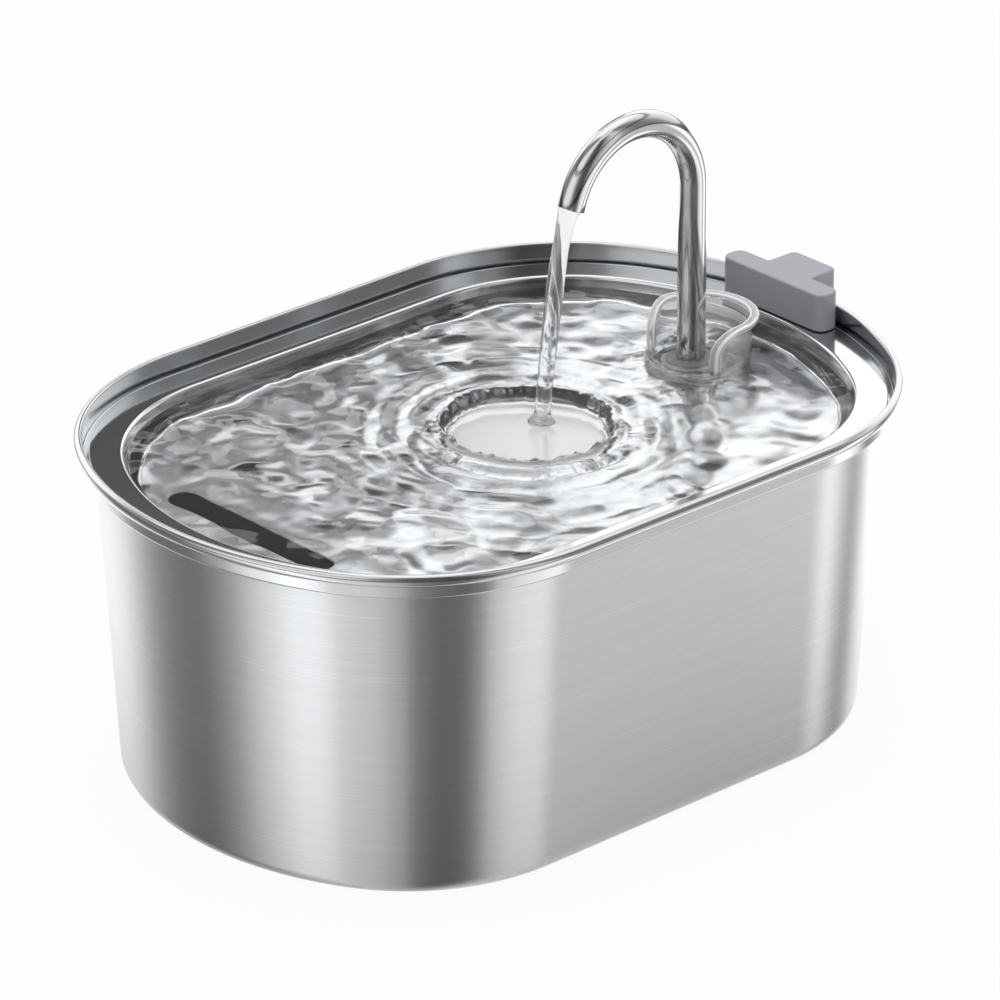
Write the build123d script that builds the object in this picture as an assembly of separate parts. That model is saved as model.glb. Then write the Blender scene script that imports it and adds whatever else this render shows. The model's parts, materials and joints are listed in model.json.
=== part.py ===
from build123d import *
import os
from math import atan2, cos, pi, sin, sqrt

# Pet water fountain. Millimetres, +Z up. The origin is the middle of the resting face: +X runs along the
# oval towards the faucet, and the fountain is symmetric about the XZ plane.

# ---------------------------------------------------------------- driving dimensions: tank
rim_half_length = 140.0
rim_half_width = 100.3
corner_radius = 80.8
end_radius = 119.0
tank_height = 118.5
sheet = 0.8
bead_height = 4.0
bead_round = 1.9
bead_inner_round = 0.8
band_inset = 2.1
band_height = 8.4
shoulder_inset = 7.0
foot_inset = 13.3
foot_round = 5.0
shoulder_round = 1.0
pad_height = 1.0
pad_inset = 26.0

# ---------------------------------------------------------------- driving dimensions: tray
tray_sheet = 0.8
tray_gap = 2.2
seat_gap = 0.3
pool_inset = 16.0
pool_lean = 3.0
pool_depth = 12.5
pool_round = 3.0
lip_round = 1.4
slot_setback = 38.0
slot_length = 74.0
slot_width = 10.0

# ---------------------------------------------------------------- driving dimensions: faucet and its fitting
faucet_setback = 51.3
tube_radius = 4.75
tube_wall = 0.75
bend_rise = 50.7
bend_radius = 27.5
bend_angle = 158.0
spout_straight = 4.3
turning_fit = 0.08
fitting_play = 0.1
gasket_thickness = 1.5
flange_radius = 10.0
flange_thickness = 3.0
shank_radius = 8.0
shank_length = 13.0
socket_bore = 6.3
socket_seat_depth = 15.0
water_bore = 3.6
spigot_radius = 6.5
spigot_length = 10.0
lock_ring_radius = 14.0
lock_ring_height = 6.0
lock_ring_notch = 1.5
lock_ring_notches = 12
collet_length = 4.0
collet_flange_radius = 8.0
collet_flange = 1.8
ring_section = 0.7
ring_depths = (8.0, 12.0)
hose_wall = 2.0
hose_grip = 9.0

# ---------------------------------------------------------------- driving dimensions: splash collar
collar_radius = 19.0
collar_lip = 2.3
collar_lip_thickness = 1.8
collar_wall = 0.9
collar_offset = 4.7
collar_rise = 3.4
collar_floor = 1.5
collar_scoop_drop = 18.4
collar_scoop_front = -9.1
collar_scoop_round = 9.5

# ---------------------------------------------------------------- driving dimensions: cable guide
guide_half_width = 23.8
guide_depth = 9.0
guide_lip_gap = 1.0
guide_rise = 7.0
guide_round = 3.6
stub_half_width = 10.2
stub_reach = 6.0
stub_round = 2.5
hook_drop = 5.5
rim_play = 0.4
cable_channel = 5.0
channel_roof = 2.1

# ---------------------------------------------------------------- driving dimensions: filter box and filters
box_front = 54.7
box_rear = 25.3
box_half_width = 32.0
box_wall = 1.8
box_height = 42.2
box_round = 6.0
box_slot_width = 3.0
box_slot_pitch = 7.0
box_slot_low = 6.0
box_slot_high = 34.0
end_slots = 7
side_slots = 3
rib_thickness = 1.5
rib_depth = 1.2
lid_thickness = 2.0
lid_skirt = 3.0
lid_skirt_wall = 1.2
lid_hole_play = 0.7
grip_length = 20.0
grip_thickness = 3.0
grip_height = 6.0
cartridge_thickness = 14.0
cartridge_frame = 2.0
cartridge_gap = 3.0
cartridge_rib = 1.6
fleece_thickness = 1.2
sponge_thickness = 13.0
soft_play = 0.5

# ---------------------------------------------------------------- driving dimensions: pump
pump_half_width = 20.0
pump_height = 30.0
pump_round = 2.5
cup_height = 4.0
cup_radius = 6.0
cup_stem_radius = 2.5
cup_shell = 1.0
cup_spread_y = 13.0
cup_spread_x = 9.0
chamber_radius = 11.5
chamber_depth = 13.0
chamber_wall = 2.0
motor_length = 17.0
motor_wall = 1.5
rotor_bore = 6.2
rotor_tube_wall = 1.0
nozzle_bore = 4.4
nozzle_length = 19.0
cover_thickness = 5.0
cover_spigot = 1.5
cover_spigot_wall = 1.6
intake_radius = 9.0
hub_radius = 3.5
arm_width = 2.0
arms = 4
seal_inner = 12.2
seal_width = 1.6
seal_height = 1.3
seal_play = 0.1
shaft_radius = 1.0
bush_radius = 2.4
bush_length = 2.6
bush_play = 0.02
spin_fit = 0.06
impeller_radius = 9.5
impeller_disc = 1.2
impeller_hub = 3.0
impeller_gap = 0.5
vane_width = 1.4
vane_setback = 2.5
vanes = 6
magnet_radius = 5.6
magnet_length = 10.5
stack_length = 7.0
yoke_half_width = 17.0
yoke_half_height = 13.0
yoke_width = 3.0
pole_width = 8.0
pole_gap = 0.2
coil_build = 2.7
coil_length = 5.0
coil_setback = 1.3
gland_radius = 3.6
gland_height = 5.0
gland_y = 12.0
cable_radius = 1.8
slider_thickness = 1.6
slider_half_width = 13.0
slider_half_height = 9.7
slider_window = 8.0
slider_tab = 3.0
slider_tab_width = 3.0
slide_gap = 0.3
rail_thickness = 1.6
rail_lip = 1.2
rail_half_length = 14.0

# ---------------------------------------------------------------- heights that follow from them
over = 1.0
base_z = pad_height
floor_z = base_z + sheet
shoulder_z = tank_height - band_height
ledge_z = shoulder_z + sheet
tray_under = ledge_z + seat_gap
tray_top = tray_under + tray_sheet
pool_floor = tray_top - pool_depth
pool_under = pool_floor - tray_sheet
box_floor = floor_z + box_wall
box_top = floor_z + box_height
pump_base = box_floor + cup_height
pump_axis = pump_base + pump_height / 2
pump_top = pump_base + pump_height
nozzle_top = pump_top + nozzle_length
flange_low = pool_floor + gasket_thickness
flange_top = flange_low + flange_thickness
shank_low = pool_floor - shank_length
spigot_low = shank_low - spigot_length
tube_seat = flange_top - socket_seat_depth
bend_z = tank_height + bend_rise
guide_top = tank_height + guide_rise

# ---------------------------------------------------------------- places along the fountain
faucet_x = rim_half_length - faucet_setback
collar_x = faucet_x + collar_offset
box_low_x = faucet_x - box_front
box_high_x = faucet_x + box_rear
chamber_front = faucet_x - chamber_depth / 2
chamber_back = faucet_x + chamber_depth / 2
pocket_front = chamber_back + chamber_wall
motor_back = chamber_back + motor_length
rotor_end = motor_back - chamber_wall
cover_front = chamber_front - cover_thickness
slider_back = cover_front - slide_gap
slider_front = slider_back - slider_thickness
rail_front = slider_front - slide_gap - rail_lip
stack_mid = (pocket_front + motor_back) / 2
cartridge_low_x = box_low_x + box_wall + cartridge_gap
cartridge_high_x = cartridge_low_x + cartridge_thickness
sponge_low_x = cartridge_high_x + seat_gap + rib_thickness + seat_gap
sponge_high_x = sponge_low_x + sponge_thickness
gland_x = stack_mid

FROM_BELOW = (Align.CENTER, Align.CENTER, Align.MIN)


def oval(inset, z):
    """The fountain's outline as a face at height z, moved in by inset. Each end has two radii."""
    half_length = rim_half_length - inset
    half_width = rim_half_width - inset
    corner = corner_radius - inset
    end = end_radius - inset
    rise = half_width - corner
    end_x = half_length - end
    corner_x = end_x + sqrt((end - corner) ** 2 - rise**2)
    turn = atan2(rise, corner_x - end_x)
    middle = (turn + pi / 2) / 2
    join_x = end_x + end * cos(turn)
    join_y = end * sin(turn)
    arc_x = corner_x + corner * cos(middle)
    arc_y = rise + corner * sin(middle)
    edges = [
        Line((-corner_x, -half_width), (corner_x, -half_width)),
        ThreePointArc((corner_x, -half_width), (arc_x, -arc_y), (join_x, -join_y)),
        ThreePointArc((join_x, -join_y), (half_length, 0), (join_x, join_y)),
        ThreePointArc((join_x, join_y), (arc_x, arc_y), (corner_x, half_width)),
        Line((corner_x, half_width), (-corner_x, half_width)),
        ThreePointArc((-corner_x, half_width), (-arc_x, arc_y), (-join_x, join_y)),
        ThreePointArc((-join_x, join_y), (-half_length, 0), (-join_x, -join_y)),
        ThreePointArc((-join_x, -join_y), (-arc_x, -arc_y), (-corner_x, -half_width)),
    ]
    return Pos(0, 0, z) * make_face(edges)


def oval_prism(inset, z_low, z_high):
    """Straight-sided solid on the fountain's outline."""
    return extrude(oval(inset, z_low), z_high - z_low)


def oval_cup(inset_low, z_low, inset_high, z_high, round_low):
    """Solid whose walls lean out from inset_low to inset_high, with a rounded bottom edge."""
    solid = loft([oval(inset_low, z_low), oval(inset_high, z_high)], ruled=True)
    return fillet(edges_at(solid, z_low), round_low)


def edges_at(solid, z):
    """The edges that lie flat at height z."""
    return solid.edges().filter_by_position(Axis.Z, z - 0.01, z + 0.01)


def edges_near_oval(solid, z, inset):
    """The edges at height z that follow the outline at this inset."""
    half_width = rim_half_width - inset
    half_length = rim_half_length - inset

    def follows(edge):
        point = edge.position_at(0.5)
        on_side = abs(abs(point.Y) - half_width) < 0.2 and abs(point.X) < half_length
        on_end = abs(abs(point.X) - half_length) < 0.2 and abs(point.Y) < 0.2
        corner_x = end_centre_x() + sqrt(
            (end_radius - corner_radius) ** 2 - (rim_half_width - corner_radius) ** 2
        )
        reach = sqrt(
            (abs(point.X) - corner_x) ** 2
            + (abs(point.Y) - rim_half_width + corner_radius) ** 2
        )
        on_corner = abs(reach - corner_radius + inset) < 0.2
        return on_side or on_end or on_corner

    return [edge for edge in edges_at(solid, z) if follows(edge)]


def end_centre_x():
    """Centre of the arc that closes the oval's +X end."""
    return rim_half_length - end_radius


def upright(radius, z_low, z_high, x=0.0, y=0.0):
    """Cylinder along Z."""
    return Pos(x, y, z_low) * Cylinder(radius, z_high - z_low, align=FROM_BELOW)


def upright_ring(outer, inner, z_low, z_high, x=0.0, y=0.0):
    """Tube along Z."""
    hole = upright(inner, z_low - over, z_high + over, x, y)
    return upright(outer, z_low, z_high, x, y) - hole


def lying(radius, x_low, x_high):
    """Cylinder along the pump's axis."""
    place = Pos(x_low, 0, pump_axis) * Rot(0, 90, 0)
    return place * Cylinder(radius, x_high - x_low, align=FROM_BELOW)


def lying_ring(outer, inner, x_low, x_high):
    """Tube along the pump's axis."""
    return lying(outer, x_low, x_high) - lying(inner, x_low - over, x_high + over)


def block(x_low, x_high, y_low, y_high, z_low, z_high):
    """Box between two corners."""
    size = (x_high - x_low, y_high - y_low, z_high - z_low)
    centre = ((x_low + x_high) / 2, (y_low + y_high) / 2, (z_low + z_high) / 2)
    return Pos(*centre) * Box(*size)


def rounded_prism(x_low, x_high, half_width, z_low, z_high, radius):
    """Prism with rounded corners in plan, centred on the XZ plane."""
    plan = RectangleRounded(x_high - x_low, 2 * half_width, radius)
    return extrude(Pos((x_low + x_high) / 2, 0, z_low) * plan, z_high - z_low)


# ---------------------------------------------------------------- tank


def tank():
    """Drawn shell: rolled bead, band, shoulder that carries the tray, drafted wall and rounded foot."""
    body = oval_cup(foot_inset, base_z, shoulder_inset, shoulder_z, foot_round)
    band = oval_prism(band_inset, shoulder_z, tank_height)
    band = fillet(edges_at(band, shoulder_z), shoulder_round)
    bead = oval_prism(0, tank_height - bead_height, tank_height)
    bead = fillet(
        edges_at(bead, tank_height) + edges_at(bead, tank_height - bead_height),
        bead_round,
    )
    hollow = oval_cup(
        foot_inset + sheet, floor_z, shoulder_inset + sheet, ledge_z, foot_round - sheet
    )
    mouth = oval_prism(band_inset + sheet, ledge_z, tank_height + over)
    shell = body + band + bead - hollow - mouth
    return fillet(
        edges_near_oval(shell, tank_height, band_inset + sheet), bead_inner_round
    )


def base_pad():
    """Non-slip silicone pad bonded to the underside of the tank."""
    return oval_prism(pad_inset, 0, base_z)


# ---------------------------------------------------------------- tray and what is clamped to it


def tray():
    """Drawn drinking tray: flat ledge, rounded lip, shallow pool, drain slot and two holes."""
    ledge = oval_prism(band_inset + sheet + tray_gap, tray_under, tray_top)
    bowl = oval_cup(
        pool_inset + pool_lean - tray_sheet,
        pool_under,
        pool_inset - tray_sheet,
        tray_under,
        pool_round + tray_sheet,
    )
    hollow = oval_cup(
        pool_inset + pool_lean, pool_floor, pool_inset, tray_top, pool_round
    )
    shell = ledge + bowl - hollow
    shell = fillet(edges_near_oval(shell, tray_top, pool_inset), lip_round)
    slot_plan = Rot(0, 0, 90) * SlotOverall(slot_length, slot_width)
    slot_place = Pos(slot_setback - rim_half_length, 0, pool_under - over)
    shell -= extrude(slot_place * slot_plan, tray_sheet + 2 * over)
    fitting_hole = shank_radius + 2 * fitting_play
    shell -= upright(fitting_hole, pool_under - over, pool_floor + over, faucet_x)
    cable_hole = cable_channel / 2
    return shell - upright(cable_hole, tray_under - over, tray_top + over, cable_x())


def socket_gasket():
    """Soft washer between the fitting's flange and the pool floor."""
    return upright_ring(
        flange_radius - fitting_play,
        shank_radius + fitting_play,
        pool_floor,
        flange_low,
        faucet_x,
    )


def faucet_socket():
    """Through fitting: flange, shank with the tube's seat, and a spigot for the hose."""
    solid = upright(flange_radius, flange_low, flange_top, faucet_x)
    solid += upright(shank_radius, shank_low, flange_low, faucet_x)
    solid += upright(spigot_radius, spigot_low, shank_low, faucet_x)
    solid -= upright(socket_bore, tube_seat, flange_top + over, faucet_x)
    return solid - upright(water_bore, spigot_low - over, flange_top, faucet_x)


def lock_ring():
    """Notched nut that clamps the fitting against the tray's underside."""
    low = pool_under - lock_ring_height
    ring = upright_ring(
        lock_ring_radius, shank_radius + fitting_play / 2, low, pool_under, faucet_x
    )
    for turn in range(lock_ring_notches):
        notch = upright(lock_ring_notch, low - over, pool_under + over, lock_ring_radius)
        ring -= Pos(faucet_x, 0, 0) * Rot(0, 0, 360 * turn / lock_ring_notches) * notch
    return ring


def riser_hose():
    """Silicone sleeve from the pump's nozzle up to the fitting's spigot."""
    bore = spigot_radius + fitting_play / 2
    low = nozzle_top - hose_grip
    high = spigot_low + hose_grip
    return upright_ring(bore + hose_wall, bore, low, high, faucet_x)


# ---------------------------------------------------------------- faucet


def faucet_tube():
    """Bent steel tube: straight leg in the socket, gooseneck, and a square-cut spout."""
    foot = tube_seat + seat_gap
    leg = Line((faucet_x, foot), (faucet_x, bend_z))
    neck = JernArc(leg @ 1, leg % 1, bend_radius, bend_angle)
    spout = Line(neck @ 1, neck @ 1 + (neck % 1) * spout_straight)
    path = Plane.XZ * (leg + neck + spout)
    section = Pos(faucet_x, 0, foot) * (
        Circle(tube_radius) - Circle(tube_radius - tube_wall)
    )
    return sweep(section, path)


def tube_o_rings():
    """Seals on the plugged end of the tube."""
    place = tube_radius + bush_play + ring_section
    rings = [
        Pos(faucet_x, 0, flange_top - depth) * Torus(place, ring_section)
        for depth in ring_depths
    ]
    return Compound(children=rings)


def faucet_collet():
    """Soft ring in the fitting's mouth that the tube turns in."""
    bore = tube_radius + turning_fit
    barrel = upright_ring(
        socket_bore - turning_fit,
        bore,
        flange_top - collet_length,
        flange_top + seat_gap,
        faucet_x,
    )
    flange = upright_ring(
        collet_flange_radius,
        bore,
        flange_top + seat_gap,
        flange_top + seat_gap + collet_flange,
        faucet_x,
    )
    return barrel + flange


# ---------------------------------------------------------------- splash collar


def collar_cut(margin):
    """Everything past the collar's cut edge, with that edge moved into the collar by margin."""
    high = tank_height + collar_rise
    top = high - margin
    front = collar_x + collar_scoop_front + margin
    corner = collar_scoop_round - margin
    foot = high - collar_scoop_drop - margin
    near = collar_x - collar_radius - 2 * over
    far = collar_x + collar_radius + 2 * over
    crest = high + 2 * over
    level = Line((far, top), (front + corner, top))
    bend = JernArc(level @ 1, level % 1, corner, 90)
    rest = Polyline(bend @ 1, (front, foot), (near, foot), (near, crest), (far, crest), level @ 0)
    outline = make_face(level + bend + rest)
    return extrude(Plane.XZ * outline, collar_radius + 2 * over, both=True)


def splash_collar():
    """Thin clear cup round the fitting's flange, scooped down at its front, with a lip along the cut."""
    low = pool_floor + seat_gap
    high = tank_height + collar_rise + over
    wall = collar_radius - collar_lip
    cup = upright(collar_radius, low, high, collar_x)
    cup -= upright(wall - collar_wall, low + collar_floor, high + over, collar_x)
    cup -= upright(flange_radius + seat_gap, low - over, high, faucet_x)
    relief = upright_ring(collar_radius + over, wall, low - over, high + over, collar_x)
    cup -= relief - collar_cut(collar_lip_thickness)
    return cup - collar_cut(0)


# ---------------------------------------------------------------- cable guide


def guide_front():
    """Front face of the guide's bar, just behind the pool's lip."""
    return rim_half_length - pool_inset + guide_lip_gap


def cable_x():
    """Middle of the cable's way up through the tray's ledge."""
    shoulder_x = rim_half_length - shoulder_inset - sheet
    return shoulder_x - cable_channel / 2


def cable_guide():
    """T-shaped block: a bar on the ledge and a stub that hooks over the rim, with a channel for the cable."""
    low = tray_top + seat_gap
    front = guide_front()
    back = front + guide_depth
    end = rim_half_length + stub_reach
    bar = extrude(
        Pos((front + back) / 2, 0, low)
        * RectangleRounded(guide_depth, 2 * guide_half_width, guide_round),
        guide_top - low,
    )
    stub = block(front + guide_round, end, -stub_half_width, stub_half_width, low, guide_top)
    corners = stub.edges().filter_by(Axis.Z).sort_by(Axis.X)[-2:]
    stub = fillet(corners, stub_round)
    solid = bar + stub
    rim_inner = rim_half_length - band_inset - sheet - rim_play
    rim_outer = rim_half_length + rim_play
    over_rim = tank_height + seat_gap
    wide = guide_half_width + over
    solid -= block(rim_inner, rim_outer, -wide, wide, low - over, over_rim)
    hook_low = tank_height - hook_drop
    solid -= block(rim_outer - over, end + over, -wide, wide, low - over, hook_low)
    solid -= rim_clearance(over_rim)
    half = cable_channel / 2
    roof = guide_top - channel_roof
    solid -= block(cable_x() - half, end + over, -half, half, low - over, roof)
    return solid


def rim_clearance(top):
    """The room that the curved rim needs below the guide's stub."""
    outer = oval_prism(-rim_play, pool_floor, top)
    inner = oval_prism(band_inset + sheet + rim_play, pool_floor - over, top + over)
    return outer - inner


# ---------------------------------------------------------------- filter box and filters


def filter_box():
    """Open-topped box on the tank floor with intake slots at its far end."""
    box = rounded_prism(
        box_low_x, box_high_x, box_half_width, floor_z, box_top, box_round
    )
    box -= rounded_prism(
        box_low_x + box_wall,
        box_high_x - box_wall,
        box_half_width - box_wall,
        box_floor,
        box_top + over,
        box_round - box_wall,
    )
    half = box_slot_width / 2
    slot_low = box_floor + box_slot_low
    slot_high = floor_z + box_slot_high
    for number in range(end_slots):
        y = (number - (end_slots - 1) / 2) * box_slot_pitch
        x_low = box_low_x - over
        x_high = box_low_x + box_wall + over
        box -= block(x_low, x_high, y - half, y + half, slot_low, slot_high)
    wide = box_half_width + over
    for number in range(side_slots):
        x = cartridge_high_x + sponge_thickness / 2 + number * box_slot_pitch
        for side in (-1, 1):
            wall = side * (box_half_width - box_wall / 2)
            y_low = wall - box_wall
            y_high = wall + box_wall
            box -= block(x - half, x + half, y_low, y_high, slot_low, slot_high)
    inner = box_half_width - box_wall
    for x_low in (
        cartridge_low_x - seat_gap - rib_thickness,
        cartridge_high_x + seat_gap,
        sponge_high_x + seat_gap,
    ):
        x_high = x_low + rib_thickness
        for y_low, y_high in ((-inner, rib_depth - inner), (inner - rib_depth, inner)):
            box += block(x_low, x_high, y_low, y_high, box_floor, filter_top())
    return box


def filter_top():
    """Top of the filters, below the lid's skirt."""
    return box_top - lid_skirt - seat_gap


def filter_lid():
    """Lid with a skirt, a grip, a hole for the riser and a hole for the cable."""
    low = box_top + seat_gap
    high = low + lid_thickness
    lid = rounded_prism(box_low_x, box_high_x, box_half_width, low, high, box_round)
    gap = box_wall + seat_gap
    skirt_low = low - lid_skirt
    lid += rounded_prism(
        box_low_x + gap,
        box_high_x - gap,
        box_half_width - gap,
        skirt_low,
        low,
        box_round - gap,
    )
    inner = gap + lid_skirt_wall
    lid -= rounded_prism(
        box_low_x + inner,
        box_high_x - inner,
        box_half_width - inner,
        skirt_low - over,
        low,
        box_round - inner,
    )
    grip_x = (cartridge_low_x + cartridge_high_x) / 2
    grip = block(
        grip_x - grip_thickness / 2,
        grip_x + grip_thickness / 2,
        -grip_length / 2,
        grip_length / 2,
        high - over,
        high + grip_height,
    )
    lid += fillet(grip.edges().group_by(Axis.Z)[-1], grip_thickness / 3)
    riser_hole = spigot_radius + fitting_play + hose_wall + lid_hole_play
    lid -= upright(riser_hole, low - over, high + over, faucet_x)
    return lid - upright(gland_radius, low - over, high + over, gland_x, gland_y)


def filter_half_width():
    """Half the width of the cartridge and the sponge."""
    return box_half_width - box_wall - soft_play


def cartridge_shell(x_low, x_high, border):
    """Upright slab across the box, moved in from its edges by border."""
    half = filter_half_width() - border
    return block(x_low, x_high, -half, half, box_floor + border, filter_top() - border)


def filter_cartridge():
    """Plastic frame of the carbon filter, with a cross rib on each face."""
    x_low = cartridge_low_x
    x_high = cartridge_high_x
    frame = cartridge_shell(x_low, x_high, 0)
    frame -= cartridge_shell(x_low - over, x_high + over, cartridge_frame)
    half = cartridge_rib / 2
    middle = (box_floor + filter_top()) / 2
    wide = filter_half_width() - cartridge_frame / 2
    for face_low in (x_low, x_high - cartridge_rib):
        face_high = face_low + cartridge_rib
        frame += block(face_low, face_high, -wide, wide, middle - half, middle + half)
        frame += block(
            face_low, face_high, -half, half, box_floor + over, filter_top() - over
        )
    return frame


def filter_fleece():
    """The two fleece sheets inside the cartridge's faces."""
    low_face = cartridge_low_x + cartridge_rib
    high_face = cartridge_high_x - cartridge_rib
    sheets = [
        cartridge_shell(low_face, low_face + fleece_thickness, cartridge_frame),
        cartridge_shell(high_face - fleece_thickness, high_face, cartridge_frame),
    ]
    return Compound(children=sheets)


def carbon_fill():
    """Bed of carbon granules between the fleece sheets."""
    x_low = cartridge_low_x + cartridge_rib + fleece_thickness
    x_high = cartridge_high_x - cartridge_rib - fleece_thickness
    return cartridge_shell(x_low, x_high, cartridge_frame)


def prefilter_sponge():
    """Foam block between the cartridge and the pump's intake."""
    return cartridge_shell(sponge_low_x, sponge_high_x, 0)


# ---------------------------------------------------------------- pump


def pump_block(x_low, x_high):
    """The pump's outer block between two stations, with its long edges rounded."""
    solid = block(x_low, x_high, -pump_half_width, pump_half_width, pump_base, pump_top)
    return fillet(solid.edges().filter_by(Axis.X), pump_round)


def motor_pocket():
    """Room for the stator, closed all round and open at the pump's back."""
    half_y = pump_half_width - motor_wall
    half_z = pump_height / 2 - motor_wall
    return block(
        pocket_front, motor_back + over, -half_y, half_y, pump_axis - half_z, pump_axis + half_z
    )


def rotor_tube():
    """Thin blind tube that keeps the water away from the stator."""
    return lying(rotor_bore + rotor_tube_wall, chamber_back, rotor_end + rotor_tube_wall)


def pump_housing():
    """Moulded body: impeller chamber, rotor tube, motor pocket and upright nozzle."""
    body = pump_block(chamber_front, motor_back) - motor_pocket() + rotor_tube()
    nozzle_radius = spigot_radius + fitting_play / 2 - turning_fit
    body += upright(nozzle_radius, pump_top - over, nozzle_top, faucet_x)
    body -= lying(chamber_radius, chamber_front - over, chamber_back)
    body -= lying(rotor_bore, chamber_back - over, rotor_end)
    body -= upright(nozzle_bore, pump_axis, nozzle_top + over, faucet_x)
    groove_low = seal_inner - seal_play
    groove_high = seal_inner + seal_width + seal_play
    body -= lying_ring(
        groove_high, groove_low, chamber_front - over, chamber_front + seal_height + seal_play
    )
    return body - upright(cable_radius, pump_top - 2 * motor_wall, pump_top + over, gland_x, gland_y)


def chamber_seal():
    """Ring between the cover and the housing."""
    return lying_ring(
        seal_inner + seal_width, seal_inner, chamber_front, chamber_front + seal_height
    )


def pump_cover():
    """Front cover: intake with a spider that holds the shaft, a spigot, and two rails for the regulator."""
    cover = pump_block(cover_front, chamber_front)
    cover -= lying(intake_radius, cover_front - over, chamber_front + over)
    cover += lying(hub_radius, cover_front, chamber_front)
    for number in range(arms // 2):
        arm = block(
            cover_front,
            chamber_front,
            -arm_width / 2,
            arm_width / 2,
            -intake_radius - over,
            intake_radius + over,
        )
        cover += Pos(0, 0, pump_axis) * Rot(360 * number / arms, 0, 0) * arm
    spigot_outer = chamber_radius - fitting_play
    cover += lying_ring(
        spigot_outer,
        spigot_outer - cover_spigot_wall,
        chamber_front,
        chamber_front + cover_spigot,
    )
    cover -= lying(bush_radius + bush_play, chamber_front - bush_length, chamber_front + over)
    for side in (-1, 1):
        near = side * (slider_half_height + slide_gap)
        far = near + side * rail_thickness
        lip = near - side * rail_lip
        cover += slider_bar(rail_front, cover_front, near, far)
        cover += slider_bar(rail_front, rail_front + rail_lip, lip, far)
    return cover


def slider_bar(x_low, x_high, rise_a, rise_b):
    """Bar along Y on the cover's front, between two heights measured from the pump's axis."""
    z_low = pump_axis + min(rise_a, rise_b)
    z_high = pump_axis + max(rise_a, rise_b)
    return block(x_low, x_high, -rail_half_length, rail_half_length, z_low, z_high)


def flow_slider():
    """Regulator plate that slides across the intake, with a thumb tab."""
    plate = block(
        slider_front,
        slider_back,
        -slider_half_width,
        slider_half_width,
        pump_axis - slider_half_height,
        pump_axis + slider_half_height,
    )
    plate -= lying(slider_window, slider_front - over, slider_back + over)
    tab_low = slider_half_width - slider_tab_width
    tab_half = slider_half_height / 2
    return plate + block(
        slider_front - slider_tab,
        slider_front,
        -slider_half_width,
        -tab_low,
        pump_axis - tab_half,
        pump_axis + tab_half,
    )


def impeller():
    """Vane wheel with a disc, a hub and the carrier that the magnet is moulded on."""
    disc_back = chamber_back - impeller_gap
    disc_front = disc_back - impeller_disc
    vane_front = chamber_front + vane_setback
    wheel = lying(impeller_radius, disc_front, disc_back)
    wheel += lying(impeller_hub, vane_front, magnet_back() + impeller_gap / 2)
    for number in range(vanes):
        vane = block(vane_front, disc_front, -vane_width / 2, vane_width / 2, 0, impeller_radius)
        wheel += Pos(0, 0, pump_axis) * Rot(360 * number / vanes, 0, 0) * vane
    return wheel - lying(shaft_radius + spin_fit, vane_front - over, motor_back)


def magnet_back():
    """Rear face of the rotor magnet."""
    return chamber_back - impeller_gap + magnet_length + impeller_gap


def rotor_magnet():
    """Ring magnet on the impeller's carrier."""
    return lying_ring(
        magnet_radius, impeller_hub + bush_play, magnet_back() - magnet_length, magnet_back()
    )


def impeller_shaft():
    """Ceramic shaft held by the two bushes."""
    front = chamber_front - bush_length + bush_play
    return lying(shaft_radius, front, rotor_end - bush_play)


def front_bush():
    """Rubber bush in the cover's hub."""
    return lying_ring(
        bush_radius, shaft_radius + bush_play, chamber_front - bush_length, chamber_front
    )


def rear_bush():
    """Rubber bush at the closed end of the rotor tube."""
    return lying_ring(
        rotor_bore - bush_play,
        shaft_radius + bush_play,
        rotor_end - bush_length,
        rotor_end,
    )


def stator_core():
    """Laminated frame with two poles that face the rotor tube."""
    x_low = stack_mid - stack_length / 2
    x_high = stack_mid + stack_length / 2
    frame = yoke(x_low, x_high, 0) - yoke(x_low - over, x_high + over, yoke_width)
    pole = block(
        x_low,
        x_high,
        -yoke_half_width + over,
        yoke_half_width - over,
        pump_axis - pole_width / 2,
        pump_axis + pole_width / 2,
    )
    bore = rotor_bore + rotor_tube_wall + pole_gap
    return frame + pole - lying(bore, x_low - over, x_high + over)


def yoke(x_low, x_high, border):
    """Rectangular slab of the stator, moved in from its edges by border."""
    half_y = yoke_half_width - border
    half_z = yoke_half_height - border
    return block(x_low, x_high, -half_y, half_y, pump_axis - half_z, pump_axis + half_z)


def stator_coils():
    """Two windings, one on each pole."""
    coils = []
    start = rotor_bore + rotor_tube_wall + coil_setback
    end = start + coil_length
    x_half = stack_length / 2
    z_half = pole_width / 2
    for y_low, y_high in ((-end, -start), (start, end)):
        winding = block(
            stack_mid - x_half - coil_build,
            stack_mid + x_half + coil_build,
            y_low,
            y_high,
            pump_axis - z_half - coil_build,
            pump_axis + z_half + coil_build,
        )
        winding -= block(
            stack_mid - x_half,
            stack_mid + x_half,
            y_low - over,
            y_high + over,
            pump_axis - z_half,
            pump_axis + z_half,
        )
        coils.append(winding)
    return Compound(children=coils)


def potting():
    """Resin that seals the stator into its pocket."""
    fill = motor_pocket() & pump_block(chamber_front, motor_back)
    fill -= rotor_tube()
    fill -= stator_core()
    for winding in stator_coils().solids():
        fill -= winding
    return fill


def suction_cups():
    """Four cups that hold the pump to the box floor."""
    cups = []
    mid_x = (chamber_front + motor_back) / 2
    for x in (mid_x - cup_spread_x, mid_x + cup_spread_x):
        for y in (-cup_spread_y, cup_spread_y):
            bell = Cone(cup_radius, cup_stem_radius, cup_height, align=FROM_BELOW)
            hollow = Cone(
                cup_radius - cup_shell, cup_shell, cup_height - cup_shell, align=FROM_BELOW
            )
            cups.append(Pos(x, y, box_floor) * (bell - hollow))
    return Compound(children=cups)


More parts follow.
